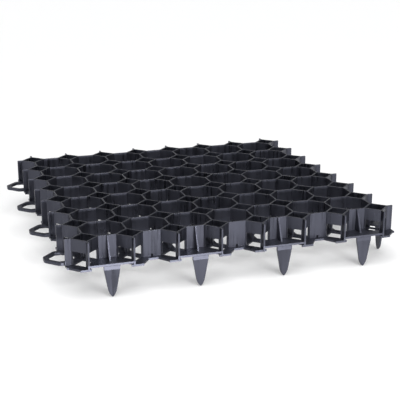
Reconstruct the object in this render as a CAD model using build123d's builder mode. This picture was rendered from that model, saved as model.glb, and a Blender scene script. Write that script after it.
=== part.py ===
"""Plastic gravel grid: one injection-moulded tile of octagon cells on a 500 mm laying module.

Millimetres, +Z up. The origin is the centre of the laying module, on the underside of the base.
The front edge is at -Y. Ground spikes stand on the front and right edges, loops on the back and
left edges, so that the spikes of one tile go down through the loops of its neighbour.
"""
import math
import os

from build123d import *

# Laying module and cell walls; the number of square cells along an edge is even
module = 500.0
cells = 8
height = 40.0
wall = 2.4
edge_relief = 4.0

# Base sheet: a flat ring round the foot of every octagon cell, just short of the fins' ends
base_thickness = 2.9
ring_width = 8.8
sheet_setback = 0.5
corner_chamfer = 15.5
corner_lip = 3.0

# Windows through the side walls of every square cell
window_width = 21.6
window_top = 22.5

# Cut-outs in the base of the edge bays, and the drain slot in the cell wall behind an open one;
# under a raised plate only a small foot of the base is left beside each fin
open_mouth = 35.5
fin_foot = 2.6
notch_lip = 3.5
notch_back = 14.0
slot_width = 3.0
slot_top = 6.0

# Loop: a flat bar round a hole that the neighbour's spike goes down through
loop_height = 4.3
loop_root_depth = 3.0
loop_root_width = 50.0
loop_knee_reach = 6.5
loop_knee_width = 49.2
loop_reach = 24.0
loop_end_width = 12.4
loop_corner_radius = 8.0
eye_knee_reach = 5.5
eye_knee_width = 35.2
eye_reach = 16.5
eye_end_width = 13.0
eye_corner_radius = 4.0

# Raised plate of a spike bay, clear of the neighbour's loop below it
loop_clearance = 0.5
plate_thickness = 2.9

# Gusset between the raised plate and the cell wall behind it
gusset_thickness = 2.2
gusset_head = 2.0
gusset_foot = 15.0

# Spike: a flat blade whose straight taper curves in to a rounded tip; its sides would meet at
# spike_point
spike_width = 22.4
spike_thickness = 3.6
collar_step = 0.4
collar_drop = 0.7
shoulder_width = 12.2
shoulder_drop = 29.0
spike_point = 40.2
tip_radius = 1.5

# Sizes worked out from those above
pitch = module / cells
half_body = module / 2 - edge_relief
half_sheet = half_body - sheet_setback
diamond_diagonal = pitch / (1 + 1 / math.sqrt(2))
diamond_side = diamond_diagonal / math.sqrt(2)
outer_row = (cells - 1) * pitch / 2
bay_depth = half_body - outer_row
ring_inradius = pitch / 2 - ring_width
notch_run = ring_inradius - edge_relief
spike_bay_mouth = pitch - wall - 2 * fin_foot
plate_bottom = loop_height + loop_clearance
plate_top = plate_bottom + plate_thickness
spike_bays = [-module / 2 + pitch * i for i in range(1, cells, 2)]
open_bays = [-module / 2 + pitch * i for i in range(2, cells, 2)]
bay_half_width = (pitch - wall) / 2
bay_back = bay_depth - wall / 2
bay_back_half_width = (pitch - diamond_diagonal + wall) / 2 - wall / math.sqrt(2)
bay_shoulder = bay_back + bay_back_half_width - bay_half_width
spike_edges = (0, 90)
loop_edges = (180, 270)


def edge_spots(turns, bays, level=0.0):
    """Places on the body's edges with x along the edge and y into the tile: turn 0 is the front."""
    return [
        Location((0, 0, level), (0, 0, turn)) * Location((bay, -half_body, 0))
        for turn in turns
        for bay in bays
    ]


def facing_planes(turns, bays, depth=0.0, level=0.0):
    """Upright planes parallel to the edges, facing out of the tile."""
    return [
        Plane(spot * Location((0, depth, level), (90, 0, 0)))
        for spot in edge_spots(turns, bays)
    ]


def crossing_planes(turns, bays):
    """Upright planes square to the edges: x runs into the tile and y runs up."""
    flats = [Plane(spot) for spot in edge_spots(turns, bays)]
    return [Plane(origin=flat.origin, x_dir=flat.y_dir, z_dir=flat.x_dir) for flat in flats]


def notch(mouth):
    """Cut-out in the base of an edge bay, as wide as mouth at the edge and narrower at its back."""
    with BuildSketch() as outline:
        Polygon(
            (-mouth / 2, 0),
            (mouth / 2, 0),
            (mouth / 2, notch_lip),
            (notch_back / 2, notch_run),
            (-notch_back / 2, notch_run),
            (-mouth / 2, notch_lip),
            align=None,
        )
    return outline.sketch


with BuildSketch() as under_plate:
    Polygon(
        (-bay_half_width, notch_lip),
        (bay_half_width, notch_lip),
        (bay_half_width, bay_shoulder),
        (bay_back_half_width, bay_back),
        (-bay_back_half_width, bay_back),
        (-bay_half_width, bay_shoulder),
        align=None,
    )
    Rectangle(spike_bay_mouth, notch_lip, align=(Align.CENTER, Align.MIN))

with BuildSketch() as loop_outline:
    Polygon(
        (-loop_root_width / 2, notch_run),
        (-loop_root_width / 2, 0),
        (-loop_knee_width / 2, -loop_knee_reach),
        (-loop_end_width / 2, -loop_reach),
        (loop_end_width / 2, -loop_reach),
        (loop_knee_width / 2, -loop_knee_reach),
        (loop_root_width / 2, 0),
        (loop_root_width / 2, notch_run),
        align=None,
    )
    fillet(loop_outline.vertices().group_by(Axis.Y)[:2], radius=loop_corner_radius)

with BuildSketch() as loop_hole:
    Polygon(
        (-open_mouth / 2, 0),
        (-eye_knee_width / 2, -eye_knee_reach),
        (-eye_end_width / 2, -eye_reach),
        (eye_end_width / 2, -eye_reach),
        (eye_knee_width / 2, -eye_knee_reach),
        (open_mouth / 2, 0),
        align=None,
    )
    fillet(loop_hole.vertices().group_by(Axis.Y)[0], radius=eye_corner_radius)
    add(notch(open_mouth))

with BuildSketch() as blade_outline:
    with BuildLine():
        side = Polyline(
            (0, -collar_drop),
            (spike_width / 2, -collar_drop),
            (shoulder_width / 2, -shoulder_drop),
        )
        TangentArc(side @ 1, (0, -spike_point), tangent=side % 1)
        mirror(about=Plane.YZ)
    make_face()
    fillet(blade_outline.vertices().group_by(Axis.Y)[0], radius=tip_radius)

with BuildPart() as gravel_grid:
    # Walls of the front left quarter: strips through every row of squares, then the squares
    with BuildSketch():
        with Locations((-half_body / 2, -module / 4)):
            with GridLocations(0, pitch, 1, cells // 2):
                Rectangle(half_body, wall)
        with Locations((-module / 4, -half_body / 2)):
            with GridLocations(pitch, 0, cells // 2, 1):
                Rectangle(wall, half_body)
        with Locations((-module / 4, -module / 4)):
            with GridLocations(pitch, pitch, cells // 2, cells // 2):
                Rectangle(diamond_side + wall, diamond_side + wall, rotation=45)
            with GridLocations(pitch, pitch, cells // 2, cells // 2):
                Rectangle(diamond_side - wall, diamond_side - wall, rotation=45, mode=Mode.SUBTRACT)
    extrude(amount=height)

    # Windows: bars along both diagonals pass through the square cells and miss the octagon walls
    quarter_centre = (-module / 4, -module / 4, base_thickness)
    for turn in (45, -45):
        with BuildSketch(Plane(origin=quarter_centre).rotated((0, 0, turn))):
            with GridLocations(0, pitch / math.sqrt(2), 1, cells - 1):
                Rectangle(module, window_width)
        extrude(amount=window_top - base_thickness, mode=Mode.SUBTRACT)

    # Drain slots in the cell walls behind the open bays
    with BuildSketch(*facing_planes((0, 270), open_bays, bay_depth, base_thickness)):
        Rectangle(slot_width, slot_top - base_thickness, align=(Align.CENTER, Align.MIN))
    extrude(amount=wall, both=True, mode=Mode.SUBTRACT)

    # Base sheet of the quarter, open inside every cell and cut out in the open bays
    with BuildSketch():
        Polygon(
            (0, 0),
            (-half_sheet, 0),
            (-half_sheet, corner_chamfer - half_body),
            (corner_lip - half_body, corner_chamfer - half_body),
            (corner_chamfer - half_body, corner_lip - half_body),
            (corner_chamfer - half_body, -half_sheet),
            (0, -half_sheet),
            align=None,
        )
        with Locations((pitch / 2 - module / 4, pitch / 2 - module / 4)):
            with GridLocations(pitch, pitch, cells // 2, cells // 2):
                RegularPolygon(ring_inradius, 8, major_radius=False, rotation=22.5, mode=Mode.SUBTRACT)
        with Locations((-module / 4, -module / 4)):
            with GridLocations(pitch, pitch, cells // 2, cells // 2):
                Rectangle(diamond_side - wall, diamond_side - wall, rotation=45, mode=Mode.SUBTRACT)
        with Locations(*edge_spots((0, 270), open_bays)):
            add(notch(open_mouth), mode=Mode.SUBTRACT)
    extrude(amount=base_thickness)

    # The other three quarters
    mirror(about=Plane.YZ)
    mirror(about=Plane.XZ)

    # Base cut away under the raised plates and inside the loops
    with BuildSketch():
        with Locations(*edge_spots(spike_edges, spike_bays)):
            add(under_plate.sketch)
        with Locations(*edge_spots(loop_edges, spike_bays)):
            add(loop_hole.sketch)
    extrude(amount=base_thickness, mode=Mode.SUBTRACT)

    # Loops on the back and left edges
    with BuildSketch(*[Plane(spot) for spot in edge_spots(loop_edges, spike_bays)]):
        add(loop_outline.sketch)
        with Locations((0, loop_root_depth)):
            Rectangle(module, module, align=(Align.CENTER, Align.MIN), mode=Mode.SUBTRACT)
        add(loop_hole.sketch, mode=Mode.SUBTRACT)
    extrude(amount=loop_height)

    # Raised plates of the spike bays, out to the middle of the walls around them
    with BuildSketch(*[Plane(spot) for spot in edge_spots(spike_edges, spike_bays, plate_bottom)]):
        Polygon(
            (-pitch / 2, sheet_setback),
            (pitch / 2, sheet_setback),
            (pitch / 2, bay_depth - diamond_diagonal / 2),
            ((pitch - diamond_diagonal) / 2, bay_depth),
            (-(pitch - diamond_diagonal) / 2, bay_depth),
            (-pitch / 2, bay_depth - diamond_diagonal / 2),
            align=None,
        )
    extrude(amount=plate_thickness)

    # Gussets, narrow at the top of the wall and wide on the plate
    with BuildSketch(*crossing_planes(spike_edges, spike_bays)):
        Polygon(
            (bay_depth, plate_top),
            (bay_depth, height),
            (bay_depth - wall / 2 - gusset_head, height),
            (bay_depth - wall / 2 - gusset_foot, plate_top),
            align=None,
        )
    extrude(amount=gusset_thickness / 2, both=True)

    # Spikes: a collar that fills the neighbour's loop, then the blade
    with BuildSketch(*facing_planes(spike_edges, spike_bays, spike_thickness)):
        with Locations((0, -collar_drop)):
            Rectangle(spike_width, plate_bottom + collar_drop, align=(Align.CENTER, Align.MIN))
    extrude(amount=spike_thickness)
    with BuildSketch(*facing_planes(spike_edges, spike_bays, spike_thickness)):
        add(blade_outline.sketch)
    extrude(amount=spike_thickness - collar_step)

gravel_grid.part.label = "gravel_grid"
os.makedirs("parts", exist_ok=True)
export_step(gravel_grid.part, "parts/gravel_grid.step")
print("solids", len(gravel_grid.part.solids()), "volume", round(gravel_grid.part.volume))
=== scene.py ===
# %% [markdown]
# # A gravel grid tile in black polyethylene
# The tile is one moulding: upright octagonal cells that hold gravel, windows that let water
# run from cell to cell, spikes along two edges and flat loops along the other two.
# Its whole shape comes from the CAD model, in metres, with the ground plane of the cells at
# z = 0 and the spikes below it. Blender's share is the look: the softly rounded edges that
# every moulding has, the marks the mould leaves, the plastic itself and the light.

# %% Load the CAD frame
import math

import bmesh
import bpy
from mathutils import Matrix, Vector


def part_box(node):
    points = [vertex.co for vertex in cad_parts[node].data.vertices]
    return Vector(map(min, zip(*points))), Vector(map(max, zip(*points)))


MM = 0.001

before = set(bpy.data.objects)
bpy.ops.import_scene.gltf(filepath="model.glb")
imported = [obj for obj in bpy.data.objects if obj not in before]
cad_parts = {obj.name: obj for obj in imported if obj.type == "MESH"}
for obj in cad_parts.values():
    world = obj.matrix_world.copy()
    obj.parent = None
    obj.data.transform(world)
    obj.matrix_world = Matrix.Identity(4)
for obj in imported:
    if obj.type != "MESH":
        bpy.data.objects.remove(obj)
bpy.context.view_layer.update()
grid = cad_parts["gravel_grid"]
low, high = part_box("gravel_grid")
print("tile from", [round(v / MM, 1) for v in low], "to", [round(v / MM, 1) for v in high], "mm")

# %% [markdown]
# ## Rounded edges
# A mould is cut with small tools, so no edge of a moulding is truly sharp. The thin bright
# line along the top of each wall is light caught on that small radius. It could be faked in
# the shader, but a real radius also shows in the outline and survives an export.
# The CAD mesh arrives as loose triangles. A Weld modifier joins them, a Decimate modifier
# turns flat neighbours back into whole faces, and then a Bevel modifier rounds only the true
# corners.

# %% Round the edges of the tile
EDGE_RADIUS = 0.35 * MM
EDGE_SEGMENTS = 2
WELD_WITHIN = 0.01 * MM
FLAT_WITHIN = math.radians(1.0)
CORNER_FROM = math.radians(35.0)

weld = grid.modifiers.new("join triangles", "WELD")
weld.merge_threshold = WELD_WITHIN

whole = grid.modifiers.new("whole faces", "DECIMATE")
whole.decimate_type = "DISSOLVE"
whole.angle_limit = FLAT_WITHIN

bevel = grid.modifiers.new("edge radius", "BEVEL")
bevel.width = EDGE_RADIUS
bevel.segments = EDGE_SEGMENTS
bevel.limit_method = "ANGLE"
bevel.angle_limit = CORNER_FROM
bevel.use_clamp_overlap = True
bevel.harden_normals = True

shaped = grid.evaluated_get(bpy.context.evaluated_depsgraph_get())
print("faces with the edges rounded:", len(shaped.data.polygons))

# %% [markdown]
# ## Helpers for colour and shader nodes
# Colours are written as sRGB hex values, the way a picker shows them, and one function turns
# them into the linear numbers that a shader needs. A second function adds any shader node,
# with its settings and its links in one call, so that a material reads from top to bottom.

# %% Colour and node helpers
def linear(hex_colour):
    channels = [int(hex_colour[i:i + 2], 16) / 255 for i in (1, 3, 5)]
    straight = [c / 12.92 if c <= 0.04045 else ((c + 0.055) / 1.055) ** 2.4 for c in channels]
    return (*straight, 1.0)


def add_node(tree, kind, settings=None, links=None):
    """Adds a node with its settings. An input in links gets a link from a socket, or a value."""
    node = tree.nodes.new(kind)
    for name, value in (settings or {}).items():
        setattr(node, name, value)
    for name, source in (links or {}).items():
        if isinstance(source, bpy.types.NodeSocket):
            tree.links.new(source, node.inputs[name])
        else:
            node.inputs[name].default_value = source
    return node


def empty_material(name):
    material = bpy.data.materials.new(name)
    material.use_nodes = True
    material.node_tree.nodes.clear()
    return material, material.node_tree


print("a middle grey of #808080 is", round(linear("#808080")[0], 3), "in linear light")

# %% [markdown]
# ## Black polyethylene, injection moulded
# High-density polyethylene with carbon black is a satin plastic: its skin copies the
# spark-eroded steel of the mould. The black itself is very dark, so almost all that the eye
# sees is the sheen of the skin, which is a little blue. That blue could be painted on as a
# lighter colour, but then the inside of the cells would turn grey too. So the base colour
# stays black, and the specular part of the shader is strong and carries the blue.
#
# As the melt runs up the thin walls it leaves faint upright flow streaks. The melt freezes a
# little glossier in one streak than in the next, so the streaks drive the roughness as well
# as the tone, together with larger clouds where the mould ran warmer. All three patterns are
# noise in the tile's own coordinates, stretched upright for the streaks, so that they run
# through from wall to wall and need no unwrapping.

# %% Flow streaks, clouds and grain
STREAK_WIDTH = 3.2 * MM
STREAK_LENGTH = 90.0 * MM
CLOUD_SIZE = 45.0 * MM
GRAIN = 0.9 * MM        # real erosion marks are near 0.05 mm: drawn coarser, to show at all

moulded, tree = empty_material("black_moulded_polyethylene")
place = add_node(tree, "ShaderNodeTexCoord").outputs["Object"]
stretched = add_node(tree, "ShaderNodeMapping", {}, {
    "Vector": place,
    "Scale": (1 / STREAK_WIDTH, 1 / STREAK_WIDTH, 1 / STREAK_LENGTH),
}).outputs["Vector"]
streaks = add_node(tree, "ShaderNodeTexNoise", {}, {
    "Vector": stretched, "Scale": 1.0, "Detail": 3.0, "Roughness": 0.55,
}).outputs["Fac"]
clouds = add_node(tree, "ShaderNodeTexNoise", {}, {
    "Vector": place, "Scale": 1 / CLOUD_SIZE, "Detail": 2.0,
}).outputs["Fac"]
grain = add_node(tree, "ShaderNodeTexNoise", {}, {
    "Vector": place, "Scale": 1 / GRAIN, "Detail": 2.0, "Roughness": 0.6,
}).outputs["Fac"]
print("streaks, clouds and grain are",
      [round(size / MM, 1) for size in (STREAK_WIDTH, CLOUD_SIZE, GRAIN)], "mm wide")

# %% [markdown]
# ## The rim of the base
# The two halves of the mould meet along the rim of the base sheet, the raised plates and the
# collars of the spikes. Polished steel shuts off against polished steel there, and the rim
# leans back by a few degrees of draft so that the tile lets go. In the photograph this rim is
# the brightest line of the whole tile. It could be cut into the mesh, but the lean is less
# than a millimetre. So a mask finds the rim by place, as upright faces in the lowest 8 mm,
# and above the sheet itself only along the outside, and the shading normal is tilted there,
# by more than the real draft, so that it catches the light as it does in the photograph.

# %% Mask of the polished rim
SHEET_TOP = 3.1 * MM            # just over the sheet, which is 2.9 mm thick
PLATE_TOP = 7.9 * MM            # just over the raised plates, which end at 7.7 mm
RIM_FOOT = -0.9 * MM            # just under the collars, which end at -0.7 mm
OUTSIDE = high[0] - 0.7 * MM    # just inside the plates' edge, 0.5 mm behind the collars
UPRIGHT_BELOW = 0.35            # an upright face's normal points up or down by less than this

xyz = add_node(tree, "ShaderNodeSeparateXYZ", {}, {"Vector": place}).outputs
facing = add_node(tree, "ShaderNodeNewGeometry").outputs["True Normal"]
slope = add_node(tree, "ShaderNodeSeparateXYZ", {}, {"Vector": facing}).outputs["Z"]
mask = {"x": xyz["X"], "y": xyz["Y"], "z": xyz["Z"], "slope": slope}
for result, operation, first, second in (
    ("steepness", "ABSOLUTE", "slope", 0.0),
    ("upright", "LESS_THAN", "steepness", UPRIGHT_BELOW),
    ("x reach", "ABSOLUTE", "x", 0.0),
    ("y reach", "ABSOLUTE", "y", 0.0),
    ("reach", "MAXIMUM", "x reach", "y reach"),
    ("outside", "GREATER_THAN", "reach", OUTSIDE),
    ("plate height", "LESS_THAN", "z", PLATE_TOP),
    ("plate edge", "MULTIPLY", "outside", "plate height"),
    ("sheet height", "LESS_THAN", "z", SHEET_TOP),
    ("low", "MAXIMUM", "sheet height", "plate edge"),
    ("above foot", "GREATER_THAN", "z", RIM_FOOT),
    ("low and above foot", "MULTIPLY", "low", "above foot"),
    ("rim", "MULTIPLY", "low and above foot", "upright"),
):
    mask[result] = add_node(tree, "ShaderNodeMath", {"operation": operation}, {
        0: mask.get(first, first), 1: mask.get(second, second)}).outputs["Value"]
rim = mask["rim"]
print("the rim mask is worked out from", list(mask))

# %% [markdown]
# ## Tone and gloss of the skin
# The tone follows the streaks alone, between two blacks. The roughness follows streaks and
# clouds together, from nearly glossy to matt, and the polished rim keeps one value of its own.
# The noise stays near its middle, so the range that it really covers is spread out first.

# %% Tone and gloss
BLACK = "#0c0d10"
GREY = "#1d1e24"
STREAK_SPREAD = (0.35, 0.68)
PATCH_SPREAD = (0.38, 0.62)
CLOUD_SHARE = 0.35
SATIN_RANGE = (0.25, 0.58)
RIM_ROUGHNESS = 0.4

uneven = add_node(tree, "ShaderNodeMapRange", {}, {
    "Value": streaks, "From Min": STREAK_SPREAD[0], "From Max": STREAK_SPREAD[1],
}).outputs["Result"]
tone = add_node(tree, "ShaderNodeMix", {"data_type": "RGBA"}, {
    0: uneven, 6: linear(BLACK), 7: linear(GREY),
}).outputs[2]
patchy = add_node(tree, "ShaderNodeMix", {"data_type": "FLOAT"}, {
    0: CLOUD_SHARE, 2: streaks, 3: clouds}).outputs[0]
satin = add_node(tree, "ShaderNodeMapRange", {}, {
    "Value": patchy, "From Min": PATCH_SPREAD[0], "From Max": PATCH_SPREAD[1],
    "To Min": SATIN_RANGE[0], "To Max": SATIN_RANGE[1],
}).outputs["Result"]
gloss = add_node(tree, "ShaderNodeMix", {"data_type": "FLOAT"}, {
    0: rim, 2: satin, 3: RIM_ROUGHNESS}).outputs[0]
print("roughness of the skin from", SATIN_RANGE[0], "to", SATIN_RANGE[1], "and rim", RIM_ROUGHNESS)

# %% [markdown]
# ## Relief of the skin, and the plastic itself
# Grain and streaks are too shallow for mesh, so two Bump nodes in a row carry them. After
# them the rim's lean is added to the normal. The IOR is that of polyethylene, and the
# specular level is raised over the usual half until the walls are as light as they are in
# the photograph.

# %% Relief, lean and shader
GRAIN_DEPTH, GRAIN_STRENGTH = 0.06 * MM, 0.25
STREAK_DEPTH, STREAK_STRENGTH = 0.18 * MM, 0.6
DRAFT = 0.22            # the tangent of the rim's lean, about 12 degrees
POLYETHYLENE_IOR = 1.54
SKIN_SHEEN = 0.85
SKIN_BLUE = "#e2e5ff"

relief = add_node(tree, "ShaderNodeBump", {}, {
    "Height": grain, "Strength": GRAIN_STRENGTH, "Distance": GRAIN_DEPTH,
}).outputs["Normal"]
relief = add_node(tree, "ShaderNodeBump", {}, {
    "Height": streaks, "Strength": STREAK_STRENGTH, "Distance": STREAK_DEPTH, "Normal": relief,
}).outputs["Normal"]
lean = add_node(tree, "ShaderNodeMath", {"operation": "MULTIPLY"}, {0: rim, 1: DRAFT})
tilt = add_node(tree, "ShaderNodeCombineXYZ", {}, {"Z": lean.outputs["Value"]}).outputs["Vector"]
leaning = add_node(tree, "ShaderNodeVectorMath", {"operation": "ADD"}, {
    0: relief, 1: tilt}).outputs["Vector"]
leaning = add_node(tree, "ShaderNodeVectorMath", {"operation": "NORMALIZE"}, {
    0: leaning}).outputs["Vector"]
plastic = add_node(tree, "ShaderNodeBsdfPrincipled", {}, {
    "Base Color": tone, "Roughness": gloss, "Normal": leaning,
    "IOR": POLYETHYLENE_IOR, "Specular IOR Level": SKIN_SHEEN,
    "Specular Tint": linear(SKIN_BLUE),
})
add_node(tree, "ShaderNodeOutputMaterial", {}, {"Surface": plastic.outputs["BSDF"]})
for slot in grid.material_slots:
    slot.material = moulded
print("slots with polyethylene:", len(grid.material_slots))

# %% [markdown]
# ## Floor and background
# The tile stands on a white sheet that reaches far past the edges of the picture. A matt white
# under full light is nearly enough. Almost a third of an even glow, which only camera and
# mirror rays see, keeps the shadow under the tile nearly as light as in the photograph.

# %% White studio floor
FLOOR_Z = low[2] - 0.2 * MM
FLOOR_REACH = 6.0
PAPER_WHITE = "#fafafa"
GLOW_SHARE = 0.3


def camera_and_mirror_rays(tree):
    """A socket that is 1 for what the camera sees, straight or in a mirror or glass, else 0."""
    path = add_node(tree, "ShaderNodeLightPath")
    seen = path.outputs["Is Camera Ray"]
    for ray in ("Is Glossy Ray", "Is Transmission Ray"):
        seen = add_node(tree, "ShaderNodeMath", {"operation": "MAXIMUM"}, {
            0: seen, 1: path.outputs[ray]}).outputs["Value"]
    return seen


paper, tree = empty_material("matt_white_studio_paper")
matt = add_node(tree, "ShaderNodeBsdfDiffuse", {}, {"Color": linear(PAPER_WHITE)})
glow = add_node(tree, "ShaderNodeEmission", {}, {"Color": (1, 1, 1, 1), "Strength": 1.0})
share = add_node(tree, "ShaderNodeMath", {"operation": "MULTIPLY"}, {
    0: camera_and_mirror_rays(tree), 1: GLOW_SHARE})
mixed = add_node(tree, "ShaderNodeMixShader", {}, {
    0: share.outputs["Value"], 1: matt.outputs["BSDF"], 2: glow.outputs["Emission"]})
add_node(tree, "ShaderNodeOutputMaterial", {}, {"Surface": mixed.outputs["Shader"]})

sheet = bmesh.new()
bmesh.ops.create_grid(sheet, x_segments=1, y_segments=1, size=FLOOR_REACH)
floor_mesh = bpy.data.meshes.new("studio_floor")
sheet.to_mesh(floor_mesh)
sheet.free()
floor = bpy.data.objects.new("studio_floor", floor_mesh)
floor.location.z = FLOOR_Z
floor.data.materials.append(paper)
bpy.context.collection.objects.link(floor)
print("floor at", round(floor.location.z / MM, 1), "mm")

# %% [markdown]
# ## World
# Round the sheet stands a white backdrop, up to about 12 degrees above the horizon. Above it
# the studio is dim, so that little light falls into the cells and they stay black. Both are
# painted in the world, by height: the backdrop for camera and mirror rays, the dim room for
# all others.

# %% Backdrop and dim studio
BACKDROP_FADE = (0.21, 0.31)    # sines of the angles where the white ends
ROOM_COLOUR = (0.9, 0.95, 1.0, 1)
ROOM_STRENGTH = 0.1

world = bpy.data.worlds.new("white_backdrop_in_a_dim_studio")
bpy.context.scene.world = world
world.use_nodes = True
tree = world.node_tree
tree.nodes.clear()
dim = add_node(tree, "ShaderNodeBackground", {}, {
    "Color": ROOM_COLOUR, "Strength": ROOM_STRENGTH})
white = add_node(tree, "ShaderNodeBackground", {}, {"Color": (1, 1, 1, 1), "Strength": 1.0})
direction = add_node(tree, "ShaderNodeTexCoord").outputs["Generated"]
rise = add_node(tree, "ShaderNodeSeparateXYZ", {}, {"Vector": direction}).outputs["Z"]
backdrop = add_node(tree, "ShaderNodeMapRange", {}, {
    "Value": rise, "From Min": BACKDROP_FADE[0], "From Max": BACKDROP_FADE[1],
    "To Min": 1.0, "To Max": 0.0,
}).outputs["Result"]
shown = add_node(tree, "ShaderNodeMath", {"operation": "MULTIPLY"}, {
    0: camera_and_mirror_rays(tree), 1: backdrop})
both = add_node(tree, "ShaderNodeMixShader", {}, {
    0: shown.outputs["Value"], 1: dim.outputs["Background"], 2: white.outputs["Background"]})
add_node(tree, "ShaderNodeOutputWorld", {}, {"Surface": both.outputs["Shader"]})
print("backdrop fades out from", *(round(math.degrees(math.asin(v))) for v in BACKDROP_FADE),
      "degrees")

# %% [markdown]
# ## Lamps
# A broad light from above lies evenly on the whole sheet and makes the soft shadow under the
# tile. It could be an area lamp, but that fades with distance, so it is a sun with a very wide
# disc. A low strip lamp in front gives the walls and the rim their sheen, and reaches hardly
# any way down into the cells. A small lamp above it stands where the sloping ribs mirror it.

# %% Soft lamps
OVERHEAD_STRENGTH = 3.05
OVERHEAD_DISC = math.radians(70)
OVERHEAD_TILT = (math.radians(12), math.radians(-8), 0)
LAMP_DISTANCE = 2.2
AREA_LAMPS = (          # name, azimuth and elevation in degrees, size in metres, watts
    ("low_strip", 3, 3, (0.9, 0.14), 30),
    ("rib_softbox", 12, 26, (0.4, 0.3), 12),
)


def stand_off(thing, azimuth, elevation, distance, target=Vector((0, 0, 0))):
    """Puts a lamp or camera at a distance from the target and turns it there. 0, 0 is in front."""
    a, e = math.radians(azimuth), math.radians(elevation)
    back = Vector((math.sin(a) * math.cos(e), -math.cos(a) * math.cos(e), math.sin(e)))
    thing.location = target + back * distance
    thing.rotation_euler = back.to_track_quat("Z", "Y").to_euler()
    bpy.context.collection.objects.link(thing)
    print(thing.name, "at", [round(v, 3) for v in thing.location])


overhead_data = bpy.data.lights.new("overhead_light", "SUN")
overhead_data.energy = OVERHEAD_STRENGTH
overhead_data.angle = OVERHEAD_DISC
overhead = bpy.data.objects.new("overhead_light", overhead_data)
overhead.rotation_euler = OVERHEAD_TILT
bpy.context.collection.objects.link(overhead)

for name, azimuth, elevation, size, watts in AREA_LAMPS:
    data = bpy.data.lights.new(name, "AREA")
    data.shape = "RECTANGLE"
    data.size, data.size_y = size
    data.energy = watts
    stand_off(bpy.data.objects.new(name, data), azimuth, elevation, LAMP_DISTANCE)

# %% [markdown]
# ## Camera
# The camera looks along the tile from the front left, 17 degrees above it, through a lens
# long enough that the far edge is only a little smaller than the near one.

# %% Camera
AZIMUTH, ELEVATION = -18.30, 16.87
DISTANCE = 1592.5 * MM
TARGET = Vector((24.23, 20.46, 0.0)) * MM
LENS = 86.57
SENSOR = 36.0

camera_data = bpy.data.cameras.new("camera")
camera_data.sensor_width = SENSOR
camera_data.lens = LENS
camera = bpy.data.objects.new("camera", camera_data)
stand_off(camera, AZIMUTH, ELEVATION, DISTANCE, TARGET)
bpy.context.scene.camera = camera
bpy.context.scene.view_settings.view_transform = "Standard"
